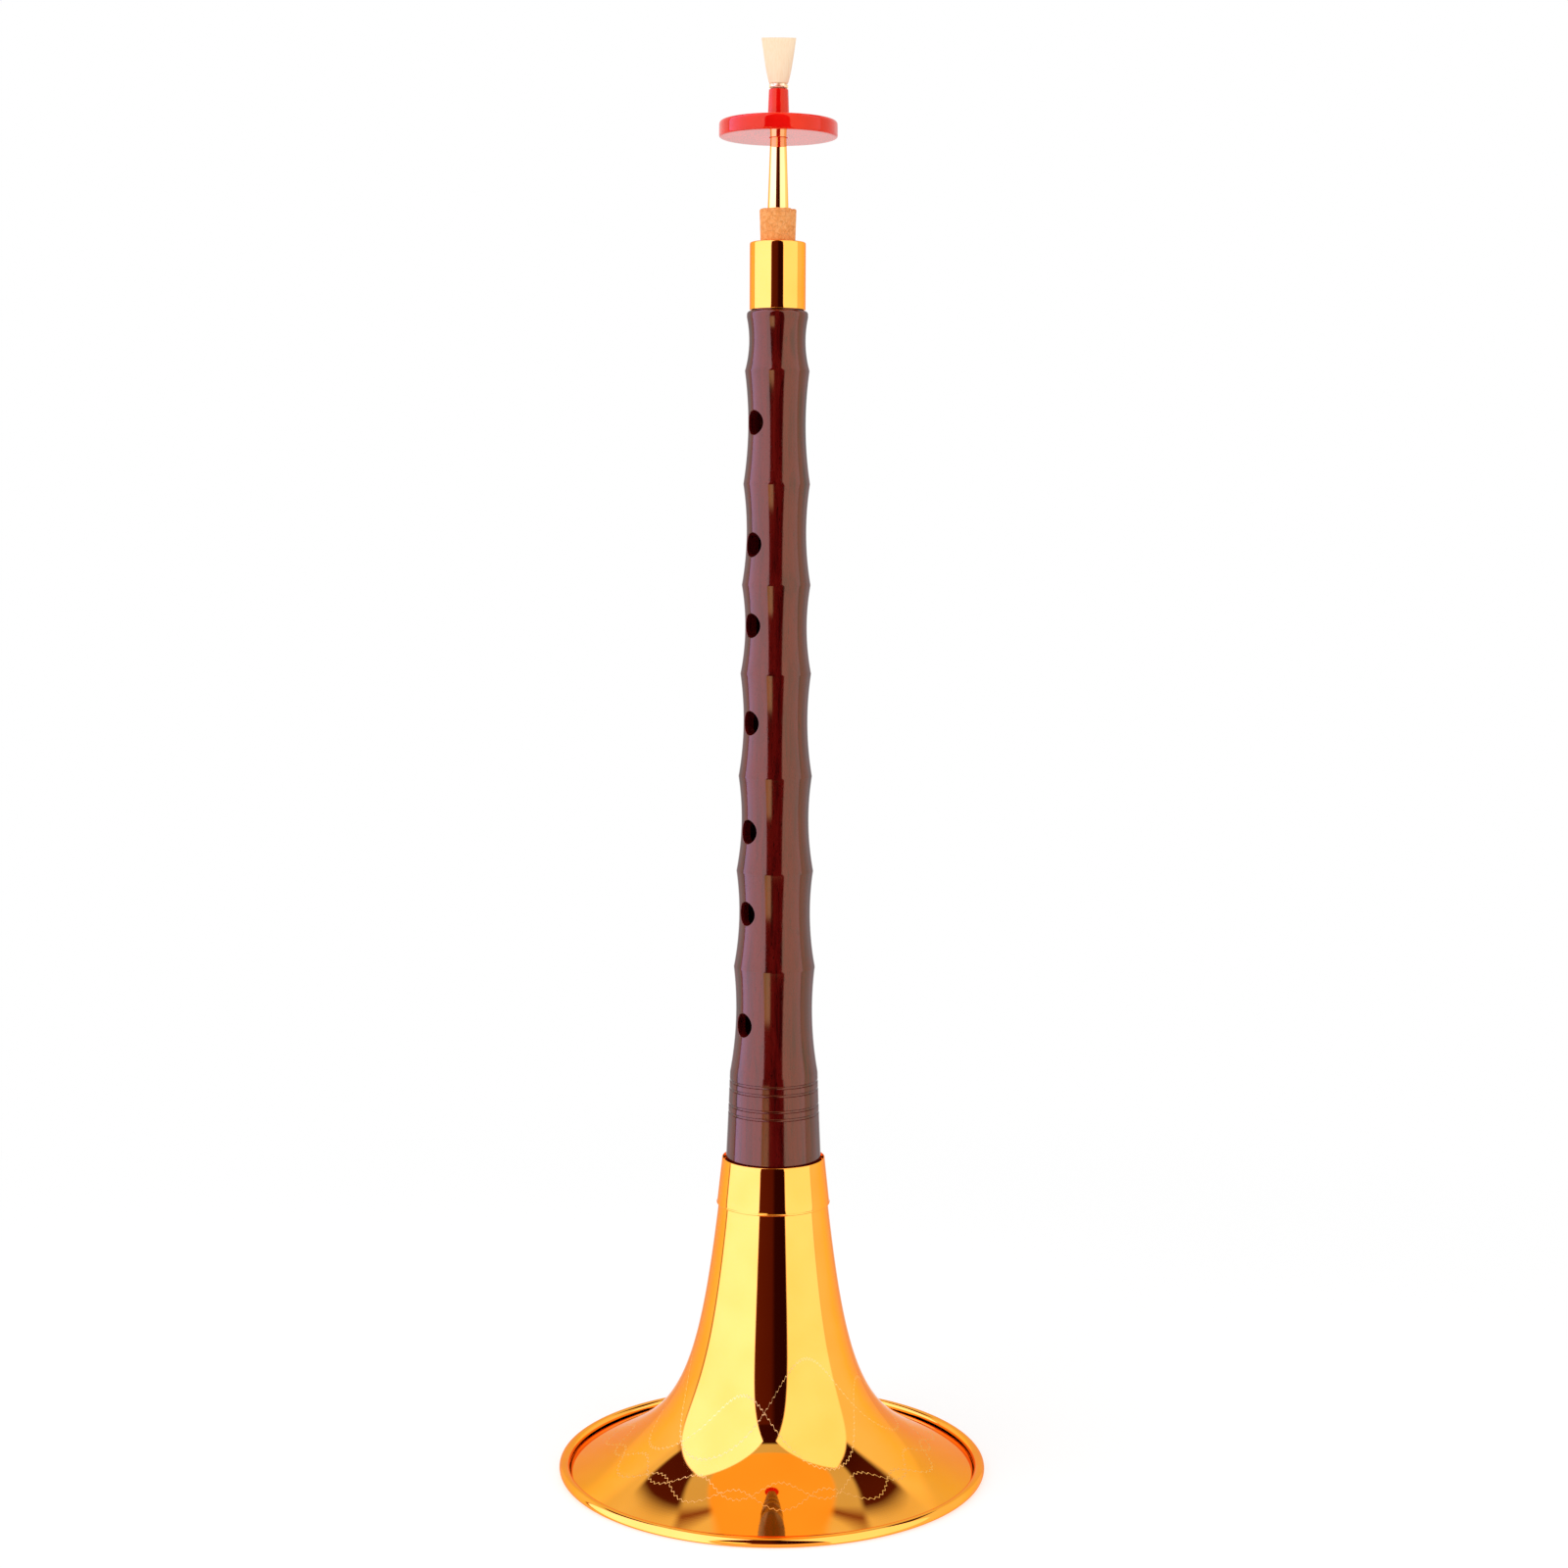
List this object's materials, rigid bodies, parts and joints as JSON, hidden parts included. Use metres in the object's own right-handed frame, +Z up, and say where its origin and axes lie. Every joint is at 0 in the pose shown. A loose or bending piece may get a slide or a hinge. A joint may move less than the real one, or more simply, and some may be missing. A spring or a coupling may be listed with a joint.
{
  "type": "suona",
  "caption": "Double-reed shawm with a turned wooden pipe, finger holes, brass bell and ferrule, corked staple, red lip disc and flat cane reed.",
  "frame": {"origin": "centre of the circle that the bell's rim stands on", "axes": "+Z up along the instrument's axis to the reed, the seven front holes face -Y and the thumb hole faces +Y"},
  "size_m": [0.1238, 0.1238, 0.4084],
  "materials": {
    "brass": "mirror polished",
    "brass_wire": "drawn wire",
    "rosewood": "clear gloss lacquer",
    "cork": "bare, fine grain",
    "red_plastic": "gloss",
    "cane": "scraped, matt"
  },
  "bodies": {
    "bell": {"bell_flare": "brass", "bell_collar": "brass", "rim_wire": "brass_wire"},
    "pipe": {"pipe": "rosewood", "bell_cork": "cork", "ferrule": "brass"},
    "staple": {"staple": "brass", "staple_cork": "cork"},
    "disc": {"lip_disc": "red_plastic"},
    "reed": {"reed": "cane", "reed_binding": "brass_wire"}
  },
  "joints": [
    {"name": "pipe_lift", "type": "slide", "parent": "bell", "child": "pipe", "axis": [0, 0, 1], "range_m": [0, 0.026]},
    {"name": "staple_lift", "type": "slide", "parent": "pipe", "child": "staple", "axis": [0, 0, 1], "range_m": [0, 0.016]},
    {"name": "disc_turn", "type": "hinge", "parent": "staple", "child": "disc", "pos_m": [0, 0, 0.3835], "axis": [0, 0, 1], "continuous": true},
    {"name": "reed_pull", "type": "slide", "parent": "staple", "child": "reed", "axis": [0, 0, 1], "range_m": [0, 0.008]}
  ]
}
